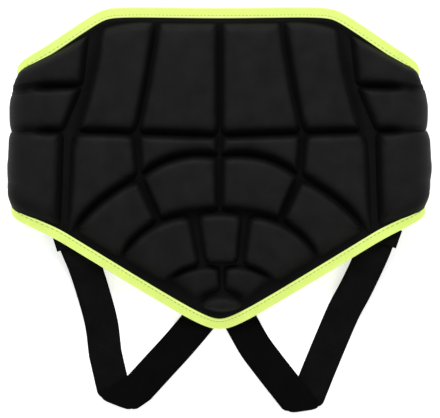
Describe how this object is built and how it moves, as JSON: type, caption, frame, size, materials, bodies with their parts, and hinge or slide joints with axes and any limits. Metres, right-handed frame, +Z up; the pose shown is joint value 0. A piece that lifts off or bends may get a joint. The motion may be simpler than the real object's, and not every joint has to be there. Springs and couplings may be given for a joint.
{
  "type": "tailbone protector",
  "caption": "Padded V-shaped tailbone protector with moulded foam blocks, bright bound edges, a wrap-round waist belt and webbing leg straps.",
  "frame": {"origin": "middle of the footprint on the surface that the part lies on", "axes": "+X across the back, to the picture's right; +Y towards the waist edge; +Z up, out of the outer face"},
  "size_m": [0.3794, 0.3668, 0.0497],
  "materials": {
    "fabric": "smooth black stretch fabric over thin foam, slight sheen",
    "foam_cover": "smooth black stretch fabric moulded over foam blocks, slight sheen",
    "binding": "neon yellow elastic binding, matte, stitched along its inner edge",
    "webbing": "black woven webbing, matte",
    "hook_tape": "black hook tape, matte"
  },
  "bodies": {
    "root": {"back_panel": "fabric", "upper_outer_block_left": "foam_cover", "upper_outer_block_right": "foam_cover", "upper_inner_block_left": "foam_cover", "upper_inner_block_right": "foam_cover", "side_top_block_left": "foam_cover", "side_top_block_right": "foam_cover", "side_upper_block_left": "foam_cover", "side_upper_block_right": "foam_cover", "side_lower_block_left": "foam_cover", "side_lower_block_right": "foam_cover", "middle_outer_block_left": "foam_cover", "middle_outer_block_right": "foam_cover", "middle_inner_block_left": "foam_cover", "middle_inner_block_right": "foam_cover", "fan_outer_block_left": "foam_cover", "fan_outer_block_right": "foam_cover", "fan_upper_block_left": "foam_cover", "fan_upper_block_right": "foam_cover", "fan_lower_block_left": "foam_cover", "fan_lower_block_right": "foam_cover", "fan_tip_block_left": "foam_cover", "fan_tip_block_right": "foam_cover", "seat_block": "foam_cover", "tip_block": "foam_cover", "binding_top": "binding", "binding_bottom": "binding", "wing_left": "fabric", "wing_right": "fabric", "closure_patch": "hook_tape", "leg_strap_left": "webbing", "leg_strap_right": "webbing", "strap_tab_left": "webbing", "strap_tab_right": "webbing"}
  },
  "joints": []
}
